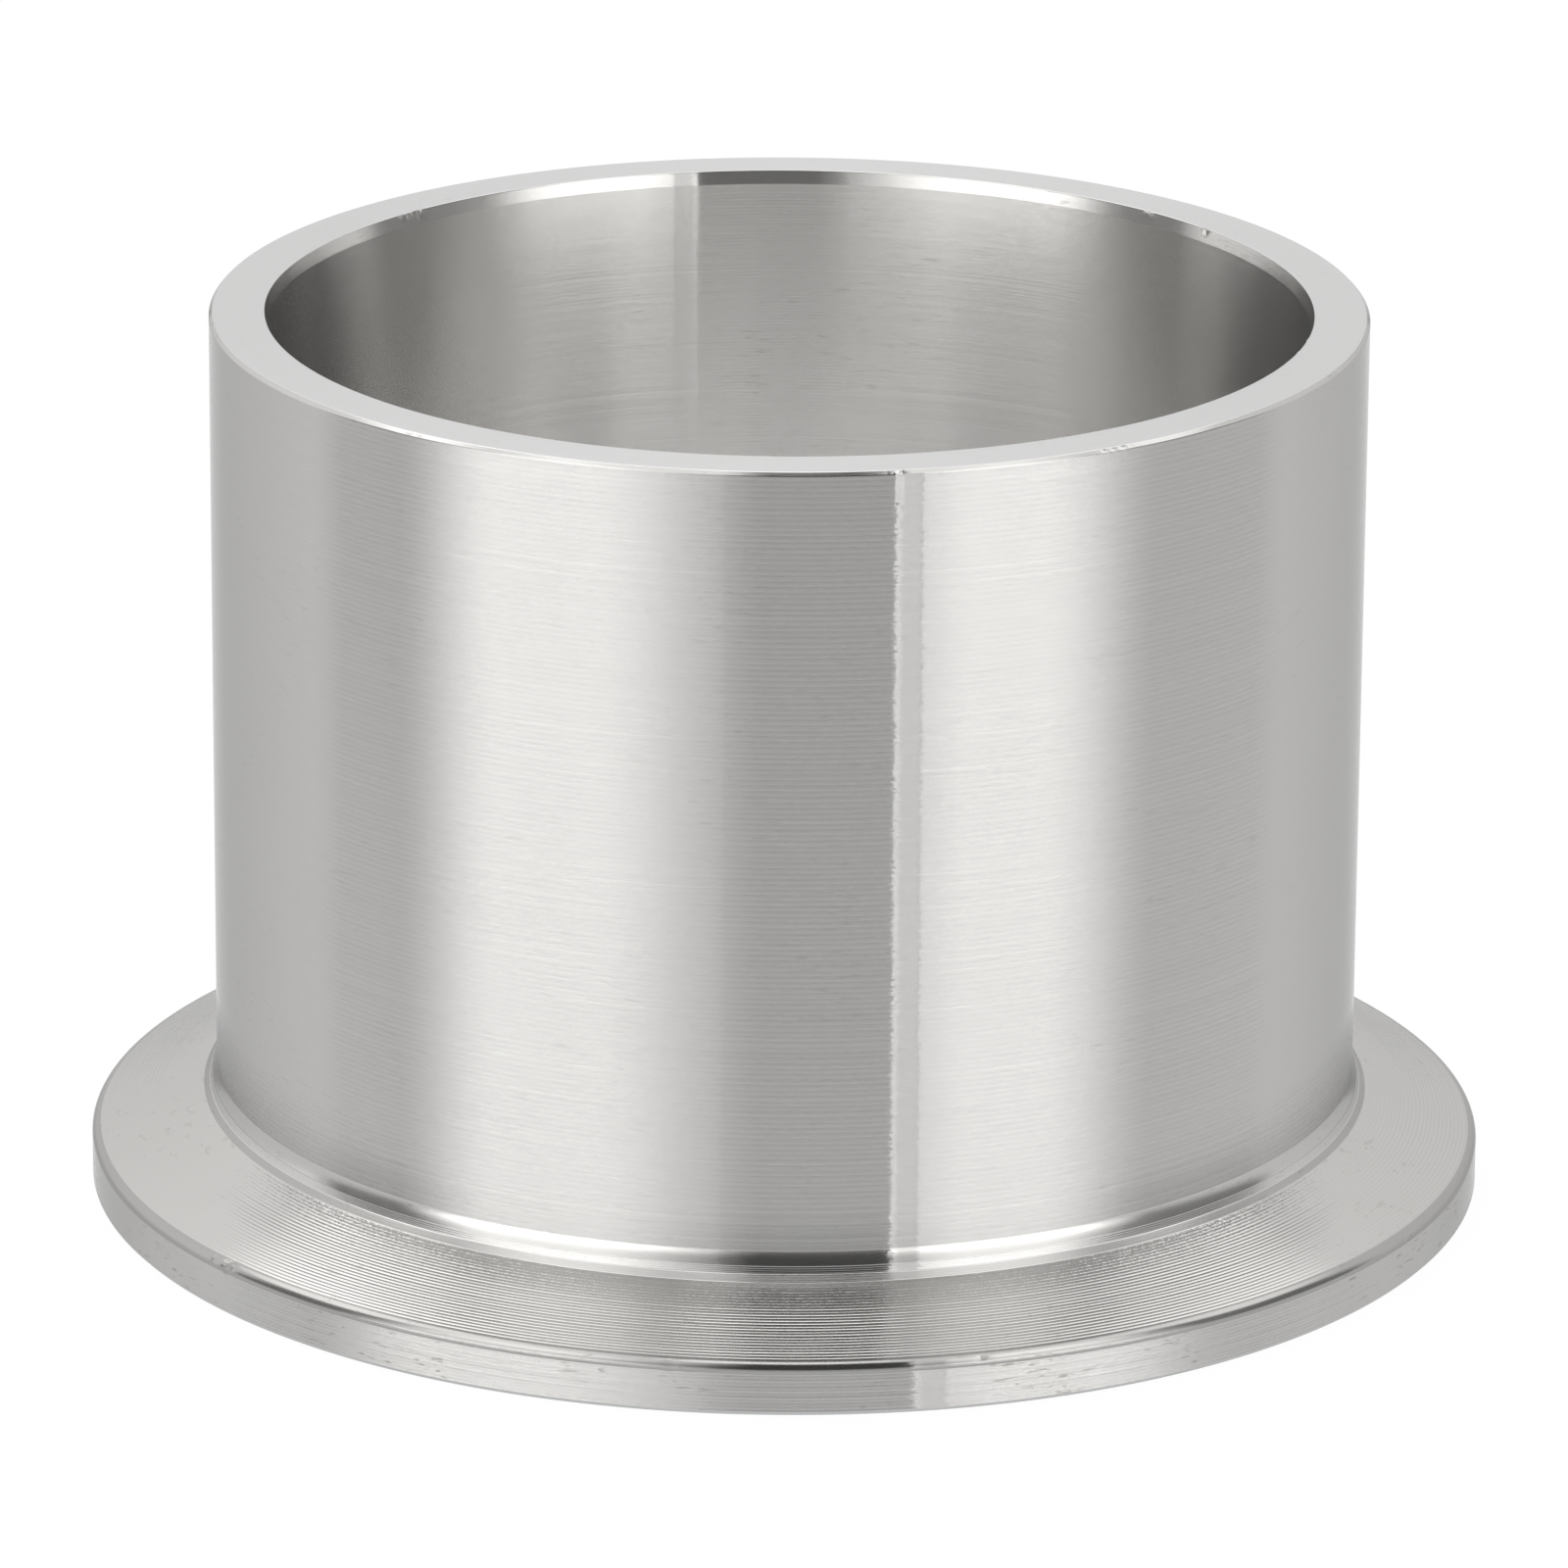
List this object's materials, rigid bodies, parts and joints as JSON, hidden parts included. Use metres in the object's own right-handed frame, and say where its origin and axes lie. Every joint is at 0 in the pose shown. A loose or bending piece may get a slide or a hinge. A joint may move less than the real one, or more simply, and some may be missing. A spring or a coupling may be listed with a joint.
{
  "type": "sanitary weld ferrule",
  "caption": "Thick-walled round stub turned from bar, with a thin coned clamp flange at its foot and a bevelled weld end on top.",
  "frame": {"origin": "centre of the bore at the flange's sealing face", "axes": "+Z along the bore, from the sealing face to the weld end; X and Y are free, because the part is round"},
  "size_m": [0.0775, 0.0774, 0.0498],
  "materials": {
    "stainless_steel": "bare, fine-turned all over, with the tool's rings showing on the flange"
  },
  "bodies": {
    "root": {"weld_ferrule": "stainless_steel"}
  },
  "joints": []
}
